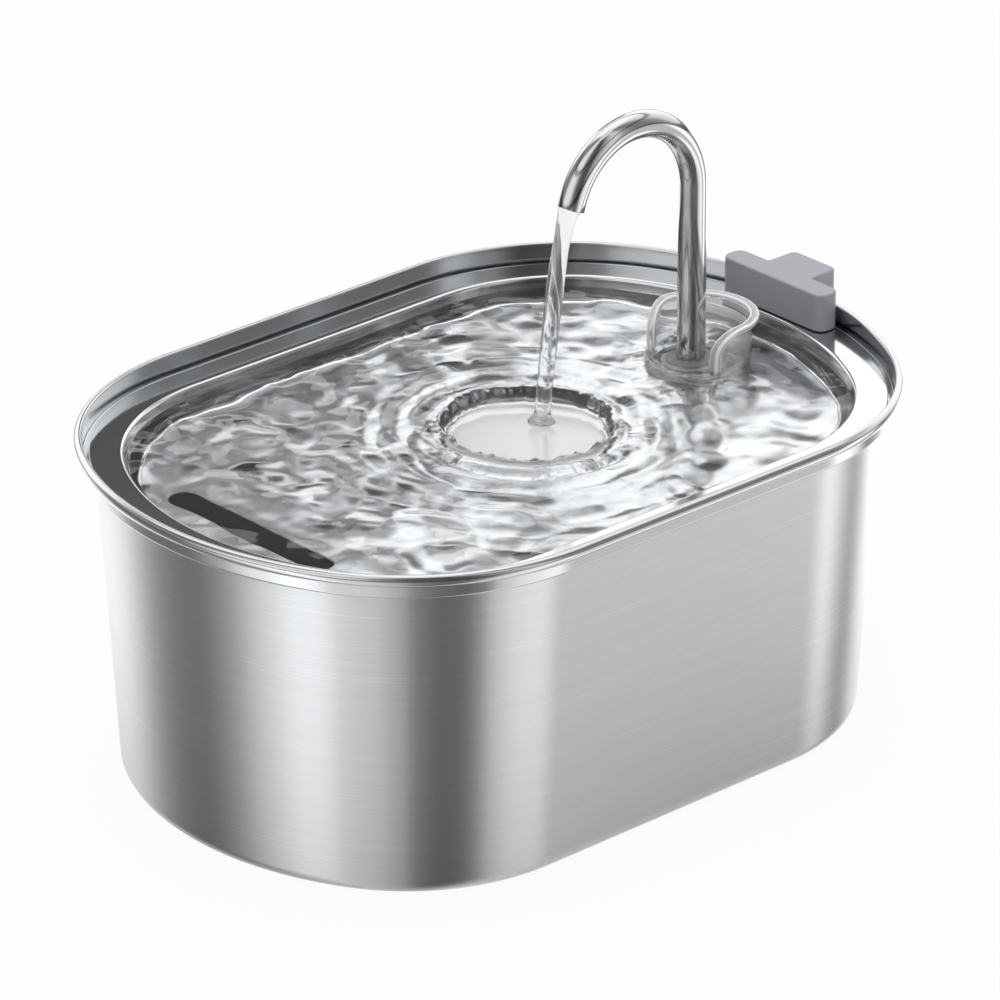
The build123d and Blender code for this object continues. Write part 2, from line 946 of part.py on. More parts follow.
def cable_gland():
    """Strain relief where the pump's cable leaves the housing."""
    return upright_ring(
        gland_radius, cable_radius, pump_top, pump_top + gland_height, gland_x, gland_y
    )


# ---------------------------------------------------------------- write every piece

PIECES = (
    tank,
    base_pad,
    tray,
    socket_gasket,
    faucet_socket,
    lock_ring,
    riser_hose,
    faucet_tube,
    tube_o_rings,
    faucet_collet,
    splash_collar,
    cable_guide,
    filter_box,
    filter_lid,
    filter_cartridge,
    filter_fleece,
    carbon_fill,
    prefilter_sponge,
    pump_housing,
    chamber_seal,
    pump_cover,
    flow_slider,
    impeller,
    rotor_magnet,
    impeller_shaft,
    front_bush,
    rear_bush,
    stator_core,
    stator_coils,
    potting,
    suction_cups,
    cable_gland,
)

os.makedirs("parts", exist_ok=True)
for piece in PIECES:
    export_step(piece(), f"parts/{piece.__name__}.step")
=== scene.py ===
import json
import math

import bmesh
import bpy
import numpy as np
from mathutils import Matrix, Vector, noise


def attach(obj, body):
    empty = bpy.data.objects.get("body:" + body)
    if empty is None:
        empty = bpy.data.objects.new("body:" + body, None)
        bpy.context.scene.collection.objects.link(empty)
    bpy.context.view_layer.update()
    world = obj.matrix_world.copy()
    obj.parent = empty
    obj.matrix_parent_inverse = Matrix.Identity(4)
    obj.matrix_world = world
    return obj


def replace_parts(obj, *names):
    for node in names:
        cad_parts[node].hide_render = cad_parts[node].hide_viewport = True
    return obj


# Pet water fountain. Shapes are in millimetres in the CAD frame, and make_object() turns them into metres.
# Materials, lamps, the panel and the camera are in metres.

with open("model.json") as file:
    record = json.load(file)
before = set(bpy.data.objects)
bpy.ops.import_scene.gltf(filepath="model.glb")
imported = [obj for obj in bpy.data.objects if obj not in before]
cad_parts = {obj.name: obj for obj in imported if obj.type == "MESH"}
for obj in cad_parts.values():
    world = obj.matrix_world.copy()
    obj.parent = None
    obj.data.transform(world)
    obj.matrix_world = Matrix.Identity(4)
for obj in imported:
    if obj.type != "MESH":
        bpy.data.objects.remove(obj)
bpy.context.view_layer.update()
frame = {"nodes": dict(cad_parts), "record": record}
scene = bpy.context.scene
scene.view_settings.view_transform = "Standard"

MM = 0.001
TURN = 2 * math.pi

# ---------------------------------------------------------------- sizes that the CAD source states
RIM_HALF_LENGTH = 140.0
RIM_HALF_WIDTH = 100.3
CORNER_RADIUS = 80.8
END_RADIUS = 119.0
TANK_TOP = 118.5
BEAD_LOW = 114.5
BEAD_ROUND = 1.9
BEAD_INNER_ROUND = 0.8
BAND_INSET = 2.1
SHOULDER_INSET = 7.0
SHOULDER_Z = 110.1
SHOULDER_ROUND = 1.0
FOOT_INSET = 13.3
FOOT_ROUND = 5.0
SHEET = 0.8
BASE_Z = 1.0
FLOOR_Z = 1.8
LEDGE_Z = 110.9
TRAY_UNDER = 111.2
TRAY_TOP = 112.0
TRAY_EDGE = 5.1
TRAY_SHEET = 0.8
LIP_ROUND = 1.4
POOL_FLOOR = 99.5
POOL_UNDER = 98.7
POOL_INSET = 16.0
POOL_LEAN = 3.0
POOL_ROUND = 3.0
SLOT_X = -102.0
SLOT_HALF_LENGTH = 37.0
SLOT_RADIUS = 5.0
FAUCET_X = 88.7
FITTING_HOLE = 8.2
CABLE_X = 129.7
CABLE_HOLE = 2.5
TUBE_RADIUS = 4.75
TUBE_BORE = 4.0
TUBE_FOOT = 89.3
BEND_Z = 169.2
BEND_RADIUS = 27.5
BEND_ANGLE = math.radians(158.0)
SPOUT_STRAIGHT = 4.3
COLLAR_X = 93.4
COLLAR_RADIUS = 19.0
COLLAR_WALL = 16.7
COLLAR_BORE = 15.8
COLLAR_LIP = 1.8
COLLAR_LOW = 99.8
COLLAR_PLATE = 101.3
COLLAR_HOLE = 10.3
COLLAR_TOP = 121.9
SCOOP_FRONT = 84.3
SCOOP_ROUND = 9.5
SCOOP_LOW = 103.5
GUIDE_FRONT = 125.0
GUIDE_BACK = 134.0
GUIDE_END = 146.0
GUIDE_HALF_WIDTH = 23.8
STUB_HALF_WIDTH = 10.2
GUIDE_LOW = 112.3
GUIDE_TOP = 125.5
GUIDE_ROUND = 3.6
STUB_ROUND = 2.5
RIM_PLAY = 0.4
HOOK_DROP = 5.5
CHANNEL_ROOF = 2.1

# ---------------------------------------------------------------- meshes


def make_object(name, points, faces, uvs=None):
    """Mesh object from points in millimetres. uvs has one pair in metres for each face corner."""
    mesh = bpy.data.meshes.new(name)
    mesh.from_pydata(np.asarray(points, float) * MM, [], faces)
    if uvs is not None:
        layer = mesh.uv_layers.new(name="UVMap")
        layer.data.foreach_set("uv", np.asarray(uvs, np.float32).ravel())
    mesh.shade_smooth()
    mesh.update()
    obj = bpy.data.objects.new(name, mesh)
    scene.collection.objects.link(obj)
    return obj


def stations(straight=28, corner=26, end=30):
    """The rim's outline from its +X tip, counterclockwise: points, outward normals and length so far."""
    rise = RIM_HALF_WIDTH - CORNER_RADIUS
    end_x = RIM_HALF_LENGTH - END_RADIUS
    corner_x = end_x + math.sqrt((END_RADIUS - CORNER_RADIUS) ** 2 - rise**2)
    turn = math.atan2(rise, corner_x - end_x)
    quarter = []
    for k in range(end):
        a = turn * k / end
        quarter.append((end_x + END_RADIUS * math.cos(a), END_RADIUS * math.sin(a), a))
    for k in range(corner):
        a = turn + (math.pi / 2 - turn) * k / corner
        x = corner_x + CORNER_RADIUS * math.cos(a)
        quarter.append((x, rise + CORNER_RADIUS * math.sin(a), a))
    for k in range(straight // 2):
        quarter.append((corner_x * (1 - 2 * k / straight), RIM_HALF_WIDTH, math.pi / 2))
    half = quarter + [(0.0, RIM_HALF_WIDTH, math.pi / 2)]
    half += [(-x, y, math.pi - a) for x, y, a in reversed(quarter)]
    ring = half + [(x, -y, -a) for x, y, a in reversed(half[1:-1])]
    ring = np.array(ring)
    steps = np.hypot(*(np.roll(ring, -1, 0) - ring)[:, :2].T)
    length = np.concatenate([[0.0], np.cumsum(steps)])
    return ring[:, :2], np.c_[np.cos(ring[:, 2]), np.sin(ring[:, 2])], length


OUTLINE, OUTWARD, OUTLINE_LENGTH = stations()


def rounded(corners, steps=5):
    """Polyline through (inset, z, radius) corners, with an arc at each corner that has a radius."""
    path = []
    for k, (u, v, radius) in enumerate(corners):
        here = np.array([u, v])
        if radius == 0 or k in (0, len(corners) - 1):
            path.append(here)
            continue
        before = np.array(corners[k - 1][:2]) - here
        after = np.array(corners[k + 1][:2]) - here
        before /= np.linalg.norm(before)
        after /= np.linalg.norm(after)
        half = math.acos(np.clip(before @ after, -1, 1)) / 2
        reach = radius / math.tan(half)
        bisector = (before + after) / np.linalg.norm(before + after)
        centre = here + bisector * radius / math.sin(half)
        start = here + before * reach - centre
        stop = here + after * reach - centre
        sweep = math.atan2(start[0] * stop[1] - start[1] * stop[0], start @ stop)
        for step in range(steps + 1):
            a = sweep * step / steps
            c, s = math.cos(a), math.sin(a)
            path.append(centre + np.array([start[0] * c - start[1] * s, start[0] * s + start[1] * c]))
    return np.array(path)


def skin(rows, columns, closed):
    """Faces and their (row, column) corners for a grid of rows that wrap round.

    If closed, the last row also joins the first."""
    faces, corners = [], []
    for r in range(rows if closed else rows - 1):
        for c in range(columns):
            quad = [(r, c), (r, c + 1), (r + 1, c + 1), (r + 1, c)]
            faces.append([(a % rows) * columns + b % columns for a, b in quad])
            corners.append(quad)
    return faces, corners


def oval_loft(name, profile, closed=False):
    """Solid with this (inset, z) profile all round the outline. An open profile is closed by flat caps."""
    profile = np.asarray(profile, float)
    rows, columns = len(profile), len(OUTLINE)
    points = [np.c_[OUTLINE - inset * OUTWARD, np.full(columns, z)] for inset, z in profile]
    across = np.concatenate([[0.0], np.cumsum(np.hypot(*np.diff(profile, axis=0).T))]) * MM
    faces, corners = skin(rows, columns, closed)
    across = np.append(across, across[-1] + np.hypot(*(profile[0] - profile[-1])) * MM)
    uvs = [(OUTLINE_LENGTH[c] * MM, across[r]) for quad in corners for r, c in quad]
    if not closed:
        for row, order in ((0, 1), (rows - 1, -1)):
            for c in range(columns // 2):
                strip = [c, c + 1, columns - c - 1, (columns - c) % columns]
                strip = list(dict.fromkeys(strip))[::order]
                faces.append([row * columns + k for k in strip])
                flat = OUTLINE - profile[row][0] * OUTWARD
                uvs += [(flat[k][0] * MM, flat[k][1] * MM) for k in strip]
    return make_object(name, np.concatenate(points), faces, uvs)


def prism(name, outline, levels):
    """Solid from a plan outline and (z, grow) levels; grow moves the outline's points along their normals."""
    outline = np.asarray(outline, float)
    ahead = np.roll(outline, -1, 0) - np.roll(outline, 1, 0)
    normal = np.c_[ahead[:, 1], -ahead[:, 0]] / np.linalg.norm(ahead, axis=1)[:, None]
    count = len(outline)
    points = [np.c_[outline + grow * normal, np.full(count, z)] for z, grow in levels]
    faces, _ = skin(len(levels), count, False)
    faces.append(list(range(count))[::-1])
    faces.append([(len(levels) - 1) * count + k for k in range(count)])
    return make_object(name, np.concatenate(points), faces)


def circle(radius, x=0.0, y=0.0, count=64):
    angles = np.arange(count) * TURN / count
    return np.c_[x + radius * np.cos(angles), y + radius * np.sin(angles)]


def slot_outline(radius, half_length, x, steps=20):
    """Stadium that runs along Y."""
    ends = []
    for side in (1, -1):
        for step in range(steps + 1):
            a = (0 if side > 0 else math.pi) + math.pi * step / steps
            ends.append((x + radius * math.cos(a), side * (half_length - radius) + radius * math.sin(a)))
    return ends


def rounded_outline(corners, steps=6):
    """Closed plan outline from (x, y, radius) corners."""
    count = len(corners)
    path = []
    for k in range(count):
        three = [corners[k - 1], corners[k], corners[(k + 1) % count]]
        path += list(rounded(three, steps)[1:-1])
    return np.array(path)


def bake(obj):
    """Applies the object's modifiers."""
    graph = bpy.context.evaluated_depsgraph_get()
    mesh = bpy.data.meshes.new_from_object(obj.evaluated_get(graph))
    obj.modifiers.clear()
    obj.data = mesh


def cut(obj, *cutters):
    """Takes the cutters out of obj."""
    for cutter in cutters:
        modifier = obj.modifiers.new("cut", "BOOLEAN")
        modifier.operation = "DIFFERENCE"
        modifier.solver = "EXACT"
        modifier.object = cutter
    bpy.context.view_layer.update()
    bake(obj)
    for cutter in cutters:
        bpy.data.objects.remove(cutter)


def lay_flat(obj, z):
    """Plan UVs for the level faces at height z, and a sharp edge round them."""
    mesh = obj.data
    layer = mesh.uv_layers.active.data
    borders = {}
    for face in mesh.polygons:
        if abs(face.normal.z) < 0.9999 or abs(face.center.z - z * MM) > 0.00005:
            continue
        for key in face.edge_keys:
            borders[key] = borders.get(key, 0) + 1
        for corner in face.loop_indices:
            place = mesh.vertices[mesh.loops[corner].vertex_index].co
            layer[corner].uv = (place.x, place.y)
    for edge in mesh.edges:
        edge.use_edge_sharp = borders.get(edge.key, 0) == 1


def even_normals(obj):
    """Large faces keep their own direction, so that only the small roundings catch a highlight."""
    modifier = obj.modifiers.new("normals", "WEIGHTED_NORMAL")
    modifier.weight = 80
    modifier.keep_sharp = True
    return obj


def tube_along(name, centres, tangents, radii, sides=48, lobes=None, closed=True):
    """Rings of a radius each about a path in the XZ plane. The rings close on each other if closed."""
    rows = len(centres)
    points = []
    for k in range(rows):
        forward = np.array(tangents[k], float)
        forward /= np.linalg.norm(forward)
        side = np.array([0.0, 1.0, 0.0])
        up = np.cross(forward, side)
        for c in range(sides):
            a = TURN * c / sides
            radius = radii[k] * (lobes(k, a) if lobes else 1.0)
            points.append(np.array(centres[k]) + radius * (math.cos(a) * side + math.sin(a) * up))
    faces, corners = skin(rows, sides, closed)
    steps = np.linalg.norm(np.diff(np.array(centres, float), axis=0), axis=1)
    along = np.concatenate([[0.0], np.cumsum(steps + 1e-3), [float(np.sum(steps))]]) * MM
    around = TURN * max(radii) / sides * MM
    uvs = [(along[r], c * around) for quad in corners for r, c in quad]
    if not closed:
        faces.append(list(range(sides)))
        faces.append([(rows - 1) * sides + c for c in range(sides)][::-1])
        uvs += [(0.0, 0.0)] * (2 * sides)
    return make_object(name, points, faces, uvs)


def outward(obj):
    """Turns every face outwards."""
    shell = bmesh.new()
    shell.from_mesh(obj.data)
    bmesh.ops.recalc_face_normals(shell, faces=shell.faces)
    shell.to_mesh(obj.data)
    shell.free()
    return obj


# ---------------------------------------------------------------- materials


class Graph:
    """Short way to add and join a material's nodes."""

    def __init__(self, owner):
        owner.use_nodes = True
        self.tree = owner.node_tree
        self.tree.nodes.clear()

    def node(self, kind, **settings):
        made = self.tree.nodes.new(kind)
        for key, value in settings.items():
            setattr(made, key, value)
        return made

    def put(self, node, **inputs):
        """Sets or joins inputs. Underscores stand for spaces, and i0, i1 ... for an input's number."""
        for key, value in inputs.items():
            numbered = key[0] == "i" and key[1:].isdigit()
            socket = node.inputs[int(key[1:]) if numbered else key.replace("_", " ")]
            if isinstance(value, bpy.types.NodeSocket):
                self.tree.links.new(value, socket)
            else:
                socket.default_value = value
        return node

    def math(self, operation, *values, clamp=False):
        made = self.node("ShaderNodeMath", operation=operation, use_clamp=clamp)
        return self.put(made, **{f"i{k}": v for k, v in enumerate(values)}).outputs[0]

    def noise(self, vector, scale, detail=3.0, roughness=0.55, distortion=0.0):
        made = self.node("ShaderNodeTexNoise")
        self.put(made, Vector=vector, Scale=scale, Detail=detail, Roughness=roughness, Distortion=distortion)
        return made.outputs["Fac"]

    def voronoi(self, vector, scale):
        made = self.node("ShaderNodeTexVoronoi")
        return self.put(made, Vector=vector, Scale=scale).outputs["Distance"]

    def stretch(self, vector, x, y, z=1.0, shift=(0, 0, 0)):
        made = self.node("ShaderNodeMapping")
        return self.put(made, Vector=vector, Location=shift, Scale=(x, y, z)).outputs[0]

    def ramp(self, value, stops, interpolation="LINEAR"):
        made = self.node("ShaderNodeValToRGB")
        made.color_ramp.interpolation = interpolation
        elements = made.color_ramp.elements
        while len(elements) < len(stops):
            elements.new(0.5)
        for element, (position, colour) in zip(elements, stops):
            element.position = position
            element.color = colour
        return self.put(made, Fac=value).outputs[0]

    def mix(self, factor, a, b):
        made = self.node("ShaderNodeMix", data_type="RGBA")
        return self.put(made, i0=factor, i6=a, i7=b).outputs[2]

    def blend(self, factor, a, b):
        made = self.node("ShaderNodeMix", data_type="FLOAT")
        return self.put(made, i0=factor, i2=a, i3=b).outputs[0]

    def span(self, value, low, high):
        made = self.node("ShaderNodeMapRange")
        return self.put(made, Value=value, To_Min=low, To_Max=high).outputs[0]

    def bump(self, height, strength, distance):
        made = self.node("ShaderNodeBump")
        return self.put(made, Height=height, Strength=strength, Distance=distance).outputs[0]

    def place(self, kind="Object"):
        return self.node("ShaderNodeTexCoord").outputs[kind]

    def output(self, surface):
        made = self.node("ShaderNodeOutputMaterial")
        self.tree.links.new(surface, made.inputs["Surface"])


def finish_of(name):
    """New material with its graph and a Principled shader."""
    material = bpy.data.materials.new(name)
    graph = Graph(material)
    shader = graph.node("ShaderNodeBsdfPrincipled")
    graph.output(shader.outputs[0])
    return material, graph, shader


def grey(value, tint=0.0):
    """Neutral colour with a slight lean to blue."""
    return (value * (1 - tint), value, value * (1 + tint), 1.0)


def brushed_steel(
    name, base, roughness, anisotropy, streak, grain=1700.0, run=14.0, bright_above=None, bright=0.16,
):
    """Stainless steel with hairlines along the piece's U direction, which spread highlights across them.

    Over the height bright_above, in metres, the sheet is polished to the roughness bright."""
    material, graph, shader = finish_of(name)
    uv = graph.place("UV")
    fine = graph.noise(graph.stretch(uv, run, grain), 1.0, 2.0, 0.6)
    broad = graph.noise(graph.stretch(uv, run * 0.3, grain * 0.16), 1.0, 3.0, 0.6)
    marks = graph.noise(graph.stretch(uv, run * 0.7, grain * 1.4), 1.0, 1.0, 0.5)
    mottled = graph.noise(uv, 9.0, 3.0)
    lines = graph.math("ADD", graph.math("MULTIPLY", fine, 0.6), graph.math("MULTIPLY", broad, 0.4))
    scratches = graph.ramp(marks, [(0.66, grey(0.0)), (0.74, grey(1.0))])
    marked = graph.math("MULTIPLY", scratches, streak * 1.3)
    tone = graph.math("ADD", graph.span(lines, 1 - streak, 1 + streak), marked)
    patchy = graph.span(mottled, -0.015, 0.015)
    rough = graph.math("ADD", graph.span(lines, roughness * 0.85, roughness * 1.15), patchy)
    spread = anisotropy
    if bright_above is not None:
        split = graph.put(graph.node("ShaderNodeSeparateXYZ"), i0=graph.place())
        over = graph.node("ShaderNodeMapRange", clamp=True)
        blur = 0.0004
        graph.put(over, Value=split.outputs[2], From_Min=bright_above - blur, From_Max=bright_above + blur)
        polish = over.outputs[0]
        rough = graph.blend(polish, rough, graph.span(mottled, bright - 0.015, bright + 0.015))
        spread = graph.blend(polish, anisotropy, 0.2)
        tone = graph.blend(polish, tone, 0.95)
    colour = graph.node("ShaderNodeMix", data_type="RGBA", blend_type="MULTIPLY")
    graph.put(colour, i0=1.0, i6=grey(base, 0.022), i7=tone)
    tangent = graph.node("ShaderNodeTangent", direction_type="UV_MAP", uv_map="UVMap")
    graph.put(
        shader, Base_Color=colour.outputs[2], Metallic=1.0, Roughness=rough, Anisotropic=spread,
        Anisotropic_Rotation=0.25, Tangent=tangent.outputs[0], Normal=graph.bump(lines, 0.15, 0.00005),
    )
    return material


def polished_steel(name, base, roughness):
    """Bright steel with faint draw marks along the tube."""
    material, graph, shader = finish_of(name)
    uv = graph.place("UV")
    marks = graph.noise(graph.stretch(uv, 12.0, 2200.0), 1.0, 2.0, 0.6)
    cloud = graph.noise(graph.place(), 60.0, 3.0)
    drawn = graph.span(marks, roughness * 0.7, roughness * 1.3)
    rough = graph.math("ADD", drawn, graph.span(cloud, -0.01, 0.01))
    graph.put(
        shader, Base_Color=graph.mix(marks, grey(base * 0.97, 0.005), grey(base, 0.005)), Metallic=1.0,
        Roughness=rough, Normal=graph.bump(marks, 0.05, 0.00002),
    )
    return material


def moulded(name, colour, roughness=0.42, grain=1100.0, relief=0.00003, variation=0.05):
    """Injection-moulded plastic or rubber with a fine spark-eroded grain."""
    material, graph, shader = finish_of(name)
    place = graph.place()
    fine = graph.noise(place, grain, 2.0)
    cloud = graph.noise(place, 40.0, 3.0)
    dark = tuple(c * (1 - variation) for c in colour)
    tone = graph.mix(cloud, (*dark, 1.0), (*colour, 1.0))
    grained = graph.span(fine, roughness - 0.06, roughness + 0.06)
    graph.put(
        shader, Base_Color=tone, Roughness=graph.math("ADD", grained, graph.span(cloud, -0.03, 0.03)),
        Specular_IOR_Level=0.5, Normal=graph.bump(fine, 0.35, relief),
    )
    return material


def clear(name, colour, ior, roughness, weight=1.0, ripple=0.0, ripple_scale=120.0, lip=None):
    """Clear plastic, silicone or water. lip is the transmission where the UV map's V is 1."""
    material, graph, shader = finish_of(name)
    wave = graph.noise(graph.place(), ripple_scale, 2.0)
    rough = graph.span(wave, roughness * 0.8, roughness * 1.2)
    if lip is not None:
        split = graph.put(graph.node("ShaderNodeSeparateXYZ"), i0=graph.place("UV"))
        weight = graph.blend(split.outputs[1], weight, lip)
        rough = graph.blend(split.outputs[1], rough, 0.2)
    graph.put(shader, Base_Color=(*colour, 1.0), Transmission_Weight=weight, IOR=ior, Roughness=rough)
    if ripple:
        graph.put(shader, Normal=graph.bump(wave, 0.3, ripple))
    return material


def fibrous(name, colour):
    """Needled fleece."""
    material, graph, shader = finish_of(name)
    place = graph.place()
    fibre = graph.noise(graph.stretch(place, 900.0, 900.0, 2600.0), 1.0, 4.0, 0.7, 1.5)
    graph.put(
        shader, Base_Color=graph.mix(fibre, (*[c * 0.8 for c in colour], 1.0), (*colour, 1.0)),
        Roughness=0.95, Sheen_Weight=0.3, Normal=graph.bump(fibre, 0.8, 0.0003),
    )
    return material


def granules(name, dark, light, scale, relief):
    """Cells with grooves between them: carbon grains or the pores of a foam."""
    material, graph, shader = finish_of(name)
    place = graph.place()
    cell = graph.voronoi(place, scale)
    colour = graph.mix(graph.noise(place, scale * 0.5, 2.0), (*dark, 1.0), (*light, 1.0))
    rough = graph.span(cell, 0.45, 0.85)
    graph.put(shader, Base_Color=colour, Roughness=rough, Normal=graph.bump(cell, 0.9, relief))
    return material


def layered(name, dark, light, metallic, per_metre, axis):
    """Stacked sheets or wound wire: fine ridges across one axis."""
    material, graph, shader = finish_of(name)
    split = graph.node("ShaderNodeSeparateXYZ")
    graph.put(split, i0=graph.place())
    wave = graph.math("SINE", graph.math("MULTIPLY", split.outputs[axis], per_metre * TURN))
    ridge = graph.span(graph.math("ADD", graph.math("MULTIPLY", wave, 0.5), 0.5), 0.0, 1.0)
    graph.put(
        shader, Base_Color=graph.mix(ridge, (*dark, 1.0), (*light, 1.0)), Metallic=metallic,
        Roughness=graph.span(ridge, 0.5, 0.3), Normal=graph.bump(ridge, 0.6, 0.0002),
    )
    return material


FINISHES = {
    "steel_body": brushed_steel(
        "steel_body", base=0.66, roughness=0.29, anisotropy=0.97, streak=0.13, bright_above=SHOULDER_Z * MM,
    ),
    "steel_tray": brushed_steel(
        "steel_tray", base=0.72, roughness=0.145, anisotropy=0.1, streak=0.02, grain=900.0,
        bright_above=TRAY_TOP * MM - 0.002, bright=0.10,
    ),
    "steel_polished": polished_steel("steel_polished", base=0.64, roughness=0.11),
    # Where the UV map's V is 1 the collar is whiter and less clear: a painted highlight along its rounded
    # edges.
    "clear_plastic": clear(
        "clear_plastic", (0.985, 0.99, 0.995), ior=1.36, roughness=0.04, weight=0.86,
        ripple=0.00004, lip=0.25,
    ),
    "plastic_grey": moulded("plastic_grey", (0.325, 0.335, 0.37), 0.45),
    "plastic_white": moulded("plastic_white", (0.78, 0.79, 0.80), 0.38),
    "plastic_black": moulded("plastic_black", (0.035, 0.036, 0.038), 0.40),
    "plastic_blue": moulded("plastic_blue", (0.10, 0.26, 0.48), 0.38),
    "silicone_clear": clear(
        "silicone_clear", (0.93, 0.94, 0.95), ior=1.41, roughness=0.28, weight=0.85, ripple=0.0001,
    ),
    "silicone_grey": moulded("silicone_grey", (0.47, 0.48, 0.49), 0.6),
    "silicone_black": moulded("silicone_black", (0.04, 0.04, 0.042), 0.6),
    "rubber_black": moulded("rubber_black", (0.03, 0.03, 0.03), 0.68, grain=1600.0, relief=0.00005),
    "fleece": fibrous("fleece", (0.86, 0.87, 0.87)),
    "carbon": granules("carbon", (0.012, 0.012, 0.013), (0.05, 0.05, 0.052), scale=620.0, relief=0.0008),
    "foam": granules("foam", (0.10, 0.13, 0.17), (0.20, 0.25, 0.31), scale=900.0, relief=0.0006),
    "magnet": moulded("magnet", (0.055, 0.053, 0.052), 0.33, grain=2000.0),
    "ceramic": moulded("ceramic", (0.86, 0.85, 0.82), 0.15, grain=3000.0, relief=0.00001),
    "lamination": layered(
        "lamination", (0.10, 0.10, 0.11), (0.34, 0.34, 0.36), metallic=0.9, per_metre=2000.0, axis=0,
    ),
    "copper": layered(
        "copper", (0.42, 0.16, 0.07), (0.88, 0.45, 0.26), metallic=1.0, per_metre=2800.0, axis=1,
    ),
    "resin": moulded("resin", (0.02, 0.021, 0.024), 0.16, grain=300.0, relief=0.00005),
}

slots = {part["node"]: part["material_slot"] for part in frame["record"]["subparts"]}


def dress(obj, slot_name):
    """Gives obj the finish of a record slot."""
    obj.data.materials.clear()
    obj.data.materials.append(FINISHES[slot_name])


def stands_for(obj, node, body):
    """obj is shown in a CAD node's place and rides on its body."""
    dress(obj, slots[node])
    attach(obj, body)
    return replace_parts(obj, node)


for node_name, node_object in frame["nodes"].items():
    node_object.data.materials.clear()
    node_object.data.materials.append(FINISHES[slots[node_name]])

# ---------------------------------------------------------------- tank and tray

MIDDLE = 70.0  # inset where the flat floors close

tank_profile = rounded([
    (MIDDLE, BASE_Z, 0), (FOOT_INSET, BASE_Z, FOOT_ROUND), (SHOULDER_INSET, SHOULDER_Z, 0.5),
    (BAND_INSET, SHOULDER_Z, SHOULDER_ROUND), (BAND_INSET, BEAD_LOW, 0.3), (0.0, BEAD_LOW, BEAD_ROUND),
    (0.0, TANK_TOP, BEAD_ROUND), (BAND_INSET + SHEET, TANK_TOP, BEAD_INNER_ROUND),
    (BAND_INSET + SHEET, LEDGE_Z, 0.5), (SHOULDER_INSET + SHEET, LEDGE_Z, 0.6),
    (FOOT_INSET + SHEET, FLOOR_Z, FOOT_ROUND - SHEET), (40.0, FLOOR_Z, 0), (MIDDLE, FLOOR_Z, 0),
])
tank = outward(oval_loft("tank_shell", tank_profile))
even_normals(stands_for(tank, "tank", "tank_body"))

rings = [(inset, POOL_FLOOR, 0) for inset in range(26, 64, 6)] + [(MIDDLE, POOL_FLOOR, 0)]
tray_profile = rounded([
    (MIDDLE, POOL_UNDER, 0), (POOL_INSET + POOL_LEAN - TRAY_SHEET, POOL_UNDER, POOL_ROUND + TRAY_SHEET),
    (POOL_INSET - TRAY_SHEET, TRAY_UNDER, LIP_ROUND - TRAY_SHEET), (TRAY_EDGE, TRAY_UNDER, 0.2),
    (TRAY_EDGE, TRAY_TOP, 0.3), (POOL_INSET, TRAY_TOP, LIP_ROUND),
    (POOL_INSET + POOL_LEAN, POOL_FLOOR, POOL_ROUND), *rings,
])
tray = outward(oval_loft("tray_shell", tray_profile))
EDGE = 0.3  # bright chamfer round the openings
slot_levels = [(POOL_UNDER - 1, 0), (POOL_FLOOR - EDGE, 0), (POOL_FLOOR + 1, 1 + EDGE)]
hole_levels = [(POOL_UNDER - 1, 0), (POOL_FLOOR + 1, 0)]
cable_levels = [(TRAY_UNDER - 1, 0), (TRAY_TOP - EDGE, 0), (TRAY_TOP + 1, 1 + EDGE)]
cut(
    tray,
    outward(prism("slot_cutter", slot_outline(SLOT_RADIUS, SLOT_HALF_LENGTH, SLOT_X), slot_levels)),
    outward(prism("hole_cutter", circle(FITTING_HOLE, FAUCET_X), hole_levels)),
    outward(prism("cable_cutter", circle(CABLE_HOLE, CABLE_X, 0, 32), cable_levels)),
)
lay_flat(tray, POOL_FLOOR)
even_normals(stands_for(tray, "tray", "tray_body"))

# ---------------------------------------------------------------- faucet


def faucet_path(count=64):
    """Centres and directions of the tube from its foot to the spout's mouth."""
    places = [(FAUCET_X, 0, z) for z in np.linspace(TUBE_FOOT, BEND_Z, 12)[:-1]]
    headings = [(0, 0, 1)] * len(places)
    for step in range(count + 1):
        a = BEND_ANGLE * step / count
        x = FAUCET_X - BEND_RADIUS + BEND_RADIUS * math.cos(a)
        places.append((x, 0, BEND_Z + BEND_RADIUS * math.sin(a)))
        headings.append((-math.sin(a), 0, math.cos(a)))
    last = np.array(places[-1]) + SPOUT_STRAIGHT * np.array(headings[-1])
    return places + [tuple(last)], headings + [headings[-1]]


def faucet():
    """Tube wall as one closed skin: outside, rounded mouth, bore and foot."""
    places, headings = faucet_path()
    lip = 0.25
    centres, tangents, radii = [], [], []

    def ring(place, heading, back, radius):
        centres.append(np.array(place) - back * np.array(heading))
        tangents.append(heading)
        radii.append(radius)

    for place, heading in list(zip(places, headings))[:-1]:
        ring(place, heading, 0, TUBE_RADIUS)
    mouth, facing = places[-1], headings[-1]
    for step in range(5):
        a = math.pi / 2 * step / 4
        ring(mouth, facing, lip * (1 - math.sin(a)), TUBE_RADIUS - lip * (1 - math.cos(a)))
    for step in range(5):
        a = math.pi / 2 * step / 4
        ring(mouth, facing, lip * (1 - math.cos(a)), TUBE_BORE + lip * (1 - math.sin(a)))
    for place, heading in list(zip(places, headings))[-2::-1]:
        ring(place, heading, 0, TUBE_BORE)
    return tube_along("faucet_gooseneck", centres, tangents, radii, 64)


stands_for(outward(faucet()), "faucet_tube", "faucet_body")

# ---------------------------------------------------------------- splash collar


